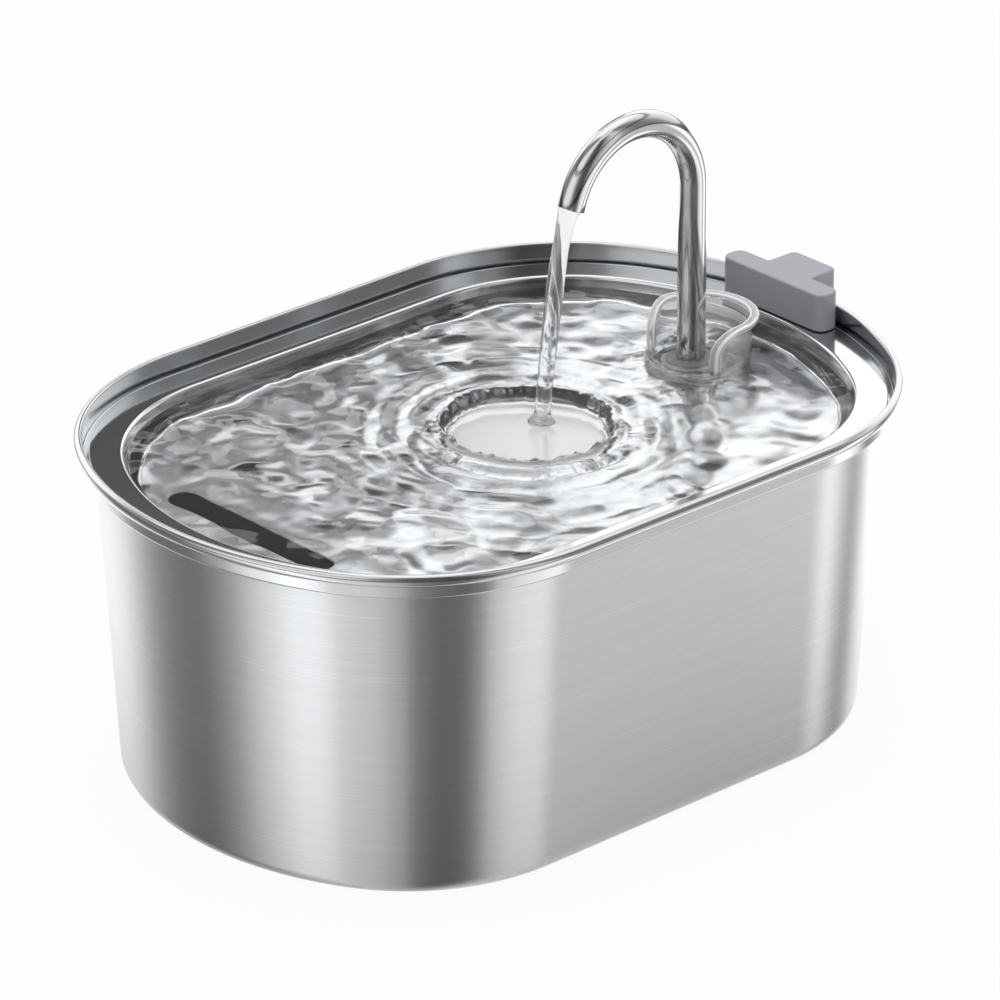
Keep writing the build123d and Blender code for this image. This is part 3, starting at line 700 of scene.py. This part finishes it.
def cut_place(step, radius, drop):
    """Compass angle and height of the collar's cut edge on a cylinder of this radius, lowered by drop.

    Steps 0 to 1 run round the level back, 1 to 2 down the rounded corner, 2 to 3 down the front and 3 to 4
    round the low front part."""
    lean = 0.3

    def angle_at(x):
        return math.acos((x - COLLAR_X) / radius)

    corner = SCOOP_FRONT + SCOOP_ROUND
    if step <= 1:
        return step * angle_at(corner), COLLAR_TOP - drop
    if step <= 2:
        a = math.pi / 2 * (step - 1)
        reach = SCOOP_ROUND - drop
        return angle_at(corner - reach * math.sin(a)), COLLAR_TOP - SCOOP_ROUND + reach * math.cos(a)
    high, low = COLLAR_TOP - SCOOP_ROUND, SCOOP_LOW - drop
    if step <= 3:
        return angle_at(SCOOP_FRONT + drop - lean * (step - 2)), high + (low - high) * (step - 2)
    start = angle_at(SCOOP_FRONT + drop - lean)
    return start + (math.pi - start) * (step - 3), low


def collar_section():
    """The cup wall's section as (radius, drop from the cut edge, height, painted sheen), from its foot round
    the lip. Painted sheen is a painted highlight: where it is 1 the plastic is whiter and less clear, mostly
    along the rounded edges.

    Points on the wall have a height, and points on the lip have a drop."""
    edge = 0.45
    quarter = [math.pi / 2 * k / 4 for k in range(5)]
    thick, out, inner = COLLAR_LIP, COLLAR_RADIUS, COLLAR_BORE
    path = [(COLLAR_WALL - 0.3, None, COLLAR_LOW, 0), (COLLAR_WALL, None, COLLAR_LOW + 0.3, 0)]
    path += [(COLLAR_WALL, thick + 0.3, None, 0.1), (COLLAR_WALL + 0.3, thick, None, 0.3)]
    path += [(out - edge * (1 - math.sin(a)), thick - edge * (1 - math.cos(a)), None, 1) for a in quarter]
    path.append((out, thick / 2, None, 0.15))
    path += [(out - edge * (1 - math.cos(a)), edge * (1 - math.sin(a)), None, 1) for a in quarter]
    path += [(out - edge - 0.5, 0, None, 0.2), (inner + edge + 0.5, 0, None, 0.2)]
    path += [(inner + edge * (1 - math.sin(a)), edge * (1 - math.cos(a)), None, 1) for a in quarter]
    path += [(inner, edge + 0.5, None, 0.2)]
    return path + [(inner, None, COLLAR_PLATE + 0.6, 0), (inner - 0.6, None, COLLAR_PLATE, 0)]


def splash_collar():
    """Thin clear cup, scooped at its front, with a lip along the cut and a floor plate round the fitting."""
    section = collar_section()
    stretches = [(0, 1, 40), (1, 2, 16), (2, 3, 10), (3, 4, 24)]
    half = [low + (high - low) * k / count for low, high, count in stretches for k in range(count)] + [4.0]
    walk = [(step, 1) for step in half] + [(step, -1) for step in half[-2:0:-1]]
    rows = []
    for step, side in walk:
        row = []
        for radius, drop, height, _ in section:
            angle, z = cut_place(step, radius, COLLAR_LIP if drop is None else drop)
            z = z if height is None else height
            row.append((COLLAR_X + radius * math.cos(angle), side * radius * math.sin(angle), z))
        angle, _ = cut_place(step, COLLAR_BORE, 0)
        for z in (COLLAR_PLATE, COLLAR_LOW):
            row.append((FAUCET_X + COLLAR_HOLE * math.cos(angle), side * COLLAR_HOLE * math.sin(angle), z))
        rows.append(row)
    grid = np.array(rows)
    faces, corners = skin(grid.shape[0], grid.shape[1], True)
    # painted highlight: the lip's rounded edges are made whiter and less clear through the UV map's V
    painted_sheen = [point[3] for point in section] + [0, 0]
    uvs = [(r / len(walk), painted_sheen[c % len(painted_sheen)]) for quad in corners for r, c in quad]
    return outward(make_object("splash_guard", grid.reshape(-1, 3), faces, uvs))


stands_for(splash_collar(), "splash_collar", "collar_body")

# ---------------------------------------------------------------- cable guide


def cable_guide():
    """T-shaped block with softened top edges, room for the rim under its stub and a channel for the cable."""
    crook = 0.8
    plan = rounded_outline([
        (GUIDE_FRONT, -GUIDE_HALF_WIDTH, GUIDE_ROUND), (GUIDE_BACK, -GUIDE_HALF_WIDTH, GUIDE_ROUND),
        (GUIDE_BACK, -STUB_HALF_WIDTH, crook), (GUIDE_END, -STUB_HALF_WIDTH, STUB_ROUND),
        (GUIDE_END, STUB_HALF_WIDTH, STUB_ROUND), (GUIDE_BACK, STUB_HALF_WIDTH, crook),
        (GUIDE_BACK, GUIDE_HALF_WIDTH, GUIDE_ROUND), (GUIDE_FRONT, GUIDE_HALF_WIDTH, GUIDE_ROUND),
    ])
    soft = 0.7
    levels = [(GUIDE_LOW, -0.3), (GUIDE_LOW + 0.3, 0)]
    for step in range(6):
        a = math.pi / 2 * step / 5
        levels.append((GUIDE_TOP - soft * (1 - math.sin(a)), -soft * (1 - math.cos(a))))
    block = outward(prism("cable_bridge", plan, levels))
    over_rim = TANK_TOP + 0.3
    low = GUIDE_LOW - 1
    deep = BAND_INSET + SHEET + RIM_PLAY
    wide, beyond = 30, 150
    channel_front = CABLE_X - CABLE_HOLE
    ring = [(-RIM_PLAY, low), (deep, low), (deep, over_rim), (-RIM_PLAY, over_rim)]

    def cutter(name, x_low, x_high, half, z_low, z_high):
        corners = [(x_low, -half), (x_high, -half), (x_high, half), (x_low, half)]
        return outward(prism(name, corners, [(z_low, 0), (z_high, 0)]))

    cut(
        block,
        outward(oval_loft("rim_cutter", ring, closed=True)),
        cutter("rim_slot_cutter", RIM_HALF_LENGTH - deep, RIM_HALF_LENGTH + RIM_PLAY, wide, low, over_rim),
        cutter("hook_cutter", RIM_HALF_LENGTH, beyond, wide, low, TANK_TOP - HOOK_DROP),
        cutter("channel_cutter", channel_front, beyond, CABLE_HOLE, low, GUIDE_TOP - CHANNEL_ROOF),
    )
    return even_normals(block)


stands_for(cable_guide(), "cable_guide", "guide_body")

# ---------------------------------------------------------------- water

WATER_Z = 108.5
DISC_X = 12.2
DISC_Y = -3.9
DISC_RADIUS = 27.3
DISC_DROP = 4.2


def pool_inset(z):
    """Inset of the pool's wall at height z."""
    wall = POOL_INSET + POOL_LEAN * (TRAY_TOP - z) / (TRAY_TOP - POOL_FLOOR)
    low = POOL_FLOOR + POOL_ROUND - z
    if low > 0:
        wall = POOL_INSET + POOL_LEAN + POOL_ROUND - math.sqrt(max(POOL_ROUND**2 - low**2, 0))
    return wall


def pool_reach(y, inset):
    """Half length of the pool's outline at this y."""
    rise = RIM_HALF_WIDTH - CORNER_RADIUS
    end_x = RIM_HALF_LENGTH - END_RADIUS
    corner_x = end_x + math.sqrt((END_RADIUS - CORNER_RADIUS) ** 2 - rise**2)
    turn = math.atan2(rise, corner_x - end_x)
    y = abs(y)
    if y <= (END_RADIUS - inset) * math.sin(turn):
        return end_x + math.sqrt((END_RADIUS - inset) ** 2 - y**2)
    return corner_x + math.sqrt(max((CORNER_RADIUS - inset) ** 2 - (y - rise) ** 2, 0))


def from_disc(x, y):
    """Distance outside the sunken disc where the stream lands, and the unit direction from its centre."""
    dx, dy = x - DISC_X, y - DISC_Y
    r = math.hypot(dx, dy)
    along, across = (dx / r, dy / r) if r > 0 else (1.0, 0.0)
    wobble = 0.0
    for height, lobes, seed in ((1.6, 2.2, 3.1), (0.9, 7, 8.4), (0.5, 17, 2.2)):
        wobble += height * noise.noise(Vector((lobes * along, lobes * across, seed)))
    return r - DISC_RADIUS - wobble, along, across


def layers(x, y, *rows, start=0.0):
    """start plus layers of noise, each as (wavelength, seed, height)."""
    for wavelength, seed, height in rows:
        start += noise.noise(Vector((x / wavelength, y / wavelength, seed))) * height
    return start


def ripple(x, y, edge):
    """Height of the water's surface above its level. edge is the distance to the pool's wall."""
    r_disc, east, north = from_disc(x, y)
    ring_height, ring_wave, ring_fade = 0.42, 10.5, 30
    chop = layers(x, y, (20, 0.3, 1.6), (10.5, 5.7, 0.80), (5.2, 9.1, 0.14))
    outer = min(max((r_disc - 4) / 34, 0), 1)
    by_slot = 1 - 0.75 * math.exp(-(((x - SLOT_X) / 14) ** 2) - (y / 46) ** 4)
    by_tube = math.exp(-(((x - FAUCET_X) ** 2 + y * y) / 15**2))
    churn = layers(x, y, (4.0, 2.7, 1), (2.1, 6.2, 0.5))
    uneven = 1 + 0.9 * noise.noise(Vector((2.5 * east, 2.5 * north, (r_disc + DISC_RADIUS) / 30)))
    rings = math.exp(-max(r_disc, 0) / ring_fade) * math.cos(r_disc * TURN / ring_wave) * ring_height * uneven
    step = 1 / (1 + math.exp(-min(max(r_disc / 0.6, -40), 40)))
    jagged = math.exp(-((r_disc - 0.5) / 1.3) ** 2)
    jagged *= layers(x, y, (3.1, 1.9, 1.5), (1.6, 4.2, 0.6), start=0.1)
    waves = rings + chop * (0.25 + 0.75 * outer) * by_slot + 1.7 * churn * by_tube
    swell = -DISC_DROP * (1 - step) + step * waves + jagged
    calm = 1 - math.exp(-edge / 2.5)
    return swell * (0.35 + 0.65 * calm)


def graded(low, high, before, between, after):
    """Places from -1 to 1, in three runs that meet at low and high."""
    runs = [np.linspace(-1, low, before, endpoint=False), np.linspace(low, high, between, endpoint=False)]
    return np.concatenate([*runs, np.linspace(high, 1, after)])


def milk(x, y, z):
    """How milky the water is: 1 within the disc and 0 round it and at the pool's floor."""
    inward, blur = 2.0, 0.5
    if z <= POOL_FLOOR + 1:
        return 0
    return 1 / (1 + math.exp(min(max((from_disc(x, y)[0] + inward) / blur, -40), 40)))


def water():
    """The water in the pool: a rippled surface, sides that follow the wall and a flat bottom."""
    sunk = 0.2
    # OPEN FAULT: 98.6 and 97.7 lie under the tray's sheet, so the sides fold down through it.
    side_levels = (104.0, 102.0, 100.0, 98.6, 97.7, POOL_FLOOR + 0.25, POOL_FLOOR - sunk)
    xs = graded(-0.20, 0.40, 90, 150, 70)
    ys = graded(-0.47, 0.38, 42, 140, 50)
    along, across = len(xs) - 1, len(ys) - 1
    top_inset = pool_inset(WATER_Z) - sunk
    half_width = RIM_HALF_WIDTH - top_inset
    points = []
    for v in ys:
        y = half_width * v
        reach = pool_reach(y, top_inset)
        for u in xs:
            x = reach * u
            edge = min(half_width - abs(y), reach - abs(x))
            points.append((x, y, WATER_Z + ripple(x, y, edge)))
    width = along + 1
    faces = [
        [r * width + c, r * width + c + 1, (r + 1) * width + c + 1, (r + 1) * width + c]
        for r in range(across) for c in range(along)
    ]
    loop = [(0, c) for c in range(along)] + [(r, along) for r in range(across)]
    loop += [(across, c) for c in range(along, 0, -1)] + [(r, 0) for r in range(across, 0, -1)]
    above = [r * width + c for r, c in loop]
    for z in side_levels:
        inset = pool_inset(max(z, POOL_FLOOR + 0.02)) - sunk
        half = RIM_HALF_WIDTH - inset
        first = len(points)
        for r, c in loop:
            y = half * ys[r]
            points.append((pool_reach(y, inset) * xs[c], y, z))
        below = list(range(first, first + len(loop)))
        for k in range(len(loop)):
            n = (k + 1) % len(loop)
            faces.append([above[k], above[n], below[n], below[k]])
        above = below
    faces.append(above)
    milky = [milk(*point) for point in points]
    uvs = [(0, milky[i]) for face in faces for i in face]
    body = outward(make_object("pool_water", points, faces, uvs))
    body.data.polygons[len(faces) - 1].use_smooth = False
    return body


WATER_TINT = (0.985, 0.992, 1.0)
WATER = clear("water", WATER_TINT, ior=1.333, roughness=0.0, weight=0.92)
POOL_WATER = clear("pool_water", WATER_TINT, ior=1.333, roughness=0.0, weight=0.985, lip=0.5)

pool = water()
pool.data.materials.append(POOL_WATER)
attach(pool, "tray_body")


def stream():
    """The stream from the spout to the pool, narrowing and twisting as it falls, and wider where it lands."""
    rows = 70
    inside, run = -0.12, 1.165  # share of the fall that is hidden in the tube, and the whole length in falls
    start_x, start_z = 33.7, TANK_TOP + 57
    reach, drop, pull = 11.3, 27.9, 39.1
    shares, widths = [inside, 0, 0.25, 0.6, 1.0], [3.8, 3.75, 3.25, 2.85, 2.55]
    flare, flare_height = 2.0, 1.1
    centres, tangents, radii = [], [], []
    for k in range(rows + 1):
        s = inside + run * k / rows
        z = start_z - drop * s - (pull * s * s if s > 0 else 0)
        x = start_x - reach * s
        centres.append((x, 0, z + 0.6 * max(s, 0)))
        fall = -drop - 2 * pull * max(s, 0)
        tangents.append((-reach, 0, fall))
        radius = float(np.interp(s, shares, widths))
        close = centres[-1][2] - WATER_Z + DISC_DROP
        radii.append(radius + flare * math.exp(-max(close, 0) / flare_height))

    def lobes(k, a):
        s = k / rows
        deep = 0.13 * math.sin(math.pi * min(s * 1.3, 1)) + 0.03
        return 1 + deep * math.cos(2 * a - 5.0 * s) + 0.25 * deep * math.cos(3 * a + 7.0 * s)

    return outward(tube_along("water_stream", centres, tangents, radii, 40, lobes, closed=False))


falling = stream()
falling.data.materials.append(WATER)
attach(falling, "faucet_body")

# ---------------------------------------------------------------- studio

TO_CAMERA = (-0.6125, -0.6738, 0.4133)  # the photograph's direction, from the rim's middle


def reflected_only(card):
    """Hides the card from the camera, from diffuse rays and from shadows."""
    card.visible_camera = False
    card.visible_diffuse = False
    card.visible_shadow = False


def panel(name, centre, facing, width, height, strength):
    """Flat card that only reflections and clear pieces see."""
    facing = Vector(facing).normalized()
    side = facing.cross(Vector((0, 0, 1))).normalized()
    up = side.cross(facing)
    centre = Vector(centre)
    signs = ((-1, -1), (1, -1), (1, 1), (-1, 1))
    corners = [centre + side * a * width / 2 + up * b * height / 2 for a, b in signs]
    card = make_object(name, [tuple(c / MM) for c in corners], [[0, 1, 2, 3]])
    material = bpy.data.materials.new(name)
    graph = Graph(material)
    light = graph.put(graph.node("ShaderNodeEmission"), Color=(1, 1, 1, 1), Strength=strength)
    graph.output(light.outputs[0])
    card.data.materials.append(material)
    reflected_only(card)


# Brightness of the ring of cards by compass angle in degrees, below and above the horizon.
LOW_BANDS = [
    (0, 0.88), (8, 1.95), (18, 2.0), (34, 1.85), (46, 1.3), (66, 1.2), (80, 1.42), (92, 1.42), (104, 1.0),
    (113, 0.42), (122, 0.24), (142, 0.22), (151, 0.48), (168, 1.27), (179, 1.70), (186, 1.55), (194, 1.0),
    (210, 0.93), (223, 0.68), (233, 0.31), (245, 0.20), (256, 0.18), (264, 0.29), (272, 0.85), (284, 1.2),
    (303, 1.5), (309, 0.72), (316, 0.72), (327, 2.0), (336, 1.38), (348, 0.32), (360, 0.82),
]
HIGH_BANDS = [
    (0, 1.2), (20, 1.5), (94, 1.5), (110, 0.35), (140, 0.3), (160, 1.1), (184, 1.2), (200, 1.0), (207, 0.8),
    (213, 0.4), (230, 0.15), (254, 0.10), (272, 0.5), (284, 0.85), (292, 0.9), (300, 0.42), (307, 0.27),
    (314, 0.27), (326, 0.4), (344, 1.0), (360, 1.2),
]
PEAK = 2.0


def card_ring():
    """Ring of light and dark cards round the set, far off, which gives steel its upright bands."""
    count, radius, reach = 96, 8000.0, 40000.0
    points = [(radius * math.cos(TURN * k / count), radius * math.sin(TURN * k / count), z)
              for z in (-reach, reach) for k in range(count)]
    faces = [[k, (k + 1) % count, count + (k + 1) % count, count + k] for k in range(count)]
    ring = make_object("card_ring", points, faces)
    material = bpy.data.materials.new("card_ring")
    graph = Graph(material)
    split = graph.put(graph.node("ShaderNodeSeparateXYZ"), i0=graph.place())
    turn = graph.math("ARCTAN2", split.outputs[1], split.outputs[0])
    share = graph.math("FRACT", graph.math("ADD", graph.math("DIVIDE", turn, TURN), 1.0))
    low = graph.ramp(share, [(a / 360, grey(v / PEAK)) for a, v in LOW_BANDS], "EASE")
    high = graph.ramp(share, [(a / 360, grey(v / PEAK)) for a, v in HIGH_BANDS], "EASE")
    slope = graph.math("DIVIDE", split.outputs[2], radius * MM)
    rise = graph.math("ADD", graph.math("DIVIDE", graph.math("ARCTANGENT", slope), math.pi), 0.5)
    upper = graph.ramp(rise, [(0.5, grey(0.0)), (0.56, grey(1.0))], "EASE")
    strips = graph.ramp(rise, [
        (0.488, grey(1.0)), (0.498, grey(0.22)), (0.535, grey(0.22)), (0.55, grey(1.0)),
        (0.70, grey(1.0)), (0.715, grey(0.35)), (0.735, grey(0.35)), (0.75, grey(1.0)),
    ])
    tone = graph.mix(upper, low, high)
    strength = graph.math("MULTIPLY", strips, PEAK)
    light = graph.put(graph.node("ShaderNodeEmission"), Color=tone, Strength=strength)
    graph.output(light.outputs[0])
    ring.data.materials.append(material)
    reflected_only(ring)


def foot_shade():
    """Sheet just over the floor that darkens what the wall reflects close to its foot, as its shade does."""
    count, radius, height = 96, 0.6, 0.4
    shift, inner, outer, depth = -0.035, 0.13, 0.30, 0.42  # metres, and the share of light that is taken
    points = [(1000 * x, 1000 * y, height) for x, y in circle(radius, 0, 0, count)]
    sheet = make_object("foot_shade", points, [list(range(count))])
    material = bpy.data.materials.new("foot_shade")
    graph = Graph(material)
    place = graph.stretch(graph.place(), 1.0, RIM_HALF_LENGTH / RIM_HALF_WIDTH, shift=(shift, 0.0, 0.0))
    reach = graph.node("ShaderNodeVectorMath", operation="LENGTH")
    graph.put(reach, i0=place)
    near = graph.node("ShaderNodeMapRange", clamp=True)
    graph.put(near, Value=reach.outputs["Value"], From_Min=inner, From_Max=outer, To_Min=depth, To_Max=0.0)
    dark = graph.put(graph.node("ShaderNodeEmission"), Color=(0, 0, 0, 1), Strength=0.0)
    through = graph.node("ShaderNodeBsdfTransparent")
    mixed = graph.node("ShaderNodeMixShader")
    graph.put(mixed, i0=near.outputs[0], i1=through.outputs[0], i2=dark.outputs[0])
    graph.output(mixed.outputs[0])
    sheet.data.materials.append(material)
    reflected_only(sheet)
    sheet.visible_transmission = False


card_ring()
foot_shade()
panel(
    "ledge_flag", centre=(0.329, 0.517, 0.401), facing=(TO_CAMERA[0], TO_CAMERA[1], -TO_CAMERA[2]),
    width=0.20, height=0.16, strength=0.10,
)


def seen_directly(graph):
    """1 for the rays that see the background as the camera does."""
    rays = graph.node("ShaderNodeLightPath").outputs
    both = graph.math("ADD", rays["Is Camera Ray"], rays["Is Glossy Ray"])
    return graph.math("ADD", both, rays["Is Transmission Ray"], clamp=True)


def floor():
    """Plain white floor that keeps a soft shadow."""
    count, radius = 96, 3000.0
    points = [(x, y, 0.0) for x, y in circle(radius, 0, 0, count)]
    sheet = make_object("studio_floor", points, [list(range(count))])
    material = bpy.data.materials.new("studio_floor")
    graph = Graph(material)
    plain = graph.put(graph.node("ShaderNodeBsdfDiffuse"), Color=(0.82, 0.82, 0.82, 1))
    white = graph.put(graph.node("ShaderNodeEmission"), Color=(1, 1, 1, 1), Strength=1.0)
    share = graph.math("MULTIPLY", seen_directly(graph), 0.94)
    mixed = graph.put(graph.node("ShaderNodeMixShader"), i0=share, i1=plain.outputs[0], i2=white.outputs[0])
    graph.output(mixed.outputs[0])
    sheet.data.materials.append(material)
    sheet.visible_glossy = False


floor()

world = bpy.data.worlds.new("studio")
scene.world = world
graph = Graph(world)
soft = graph.put(graph.node("ShaderNodeBackground"), Color=(1, 1, 1, 1), Strength=0.55)
white = graph.put(graph.node("ShaderNodeBackground"), Color=(1, 1, 1, 1), Strength=1.0)
mixed = graph.node("ShaderNodeMixShader")
graph.put(mixed, i0=seen_directly(graph), i1=soft.outputs[0], i2=white.outputs[0])
output = graph.node("ShaderNodeOutputWorld")
graph.tree.links.new(mixed.outputs[0], output.inputs["Surface"])


def lamp(name, place, target, size, power):
    """Round lamp, in metres and watts, that no reflection or clear piece shows."""
    data = bpy.data.lights.new(name, "AREA")
    data.shape = "DISK"
    data.size = size
    data.energy = power
    obj = bpy.data.objects.new(name, data)
    scene.collection.objects.link(obj)
    obj.location = place
    obj.rotation_euler = (Vector(target) - Vector(place)).to_track_quat("-Z", "Y").to_euler()
    obj.visible_glossy = False
    obj.visible_transmission = False


LIT = (0, 0, 0.1)
lamp("top_light", place=(0.1, 0.1, 1.6), target=LIT, size=1.4, power=12.0)
lamp("side_light", place=(-1.0, -0.9, 1.0), target=LIT, size=0.9, power=6.0)

# ---------------------------------------------------------------- camera at the photograph's angle

BACK = Vector(TO_CAMERA).normalized()
RIM_MIDDLE = Vector((0, 0, TANK_TOP * MM))
DISTANCE = 2.3824  # metres
FOCAL_PIXELS = 7406  # focal length in pixels of a picture 1000 pixels wide
PIXELS_RIGHT, PIXELS_DOWN = 8.2, 99.7  # from the rim's middle to the picture's middle
LENS = 266.6  # FOCAL_PIXELS in millimetres, on a sensor 36 mm wide
right = (-BACK).cross(Vector((0, 0, 1))).normalized()
up = right.cross(-BACK)
aim = (-BACK * FOCAL_PIXELS + right * PIXELS_RIGHT - up * PIXELS_DOWN).normalized()
camera_data = bpy.data.cameras.new("camera")
camera_data.lens = LENS
camera_data.sensor_width = 36.0
camera_data.clip_start = 0.05
camera_data.clip_end = 100.0
camera = bpy.data.objects.new("camera", camera_data)
scene.collection.objects.link(camera)
camera.location = RIM_MIDDLE + BACK * DISTANCE
camera.rotation_euler = aim.to_track_quat("-Z", "Y").to_euler()
scene.camera = camera
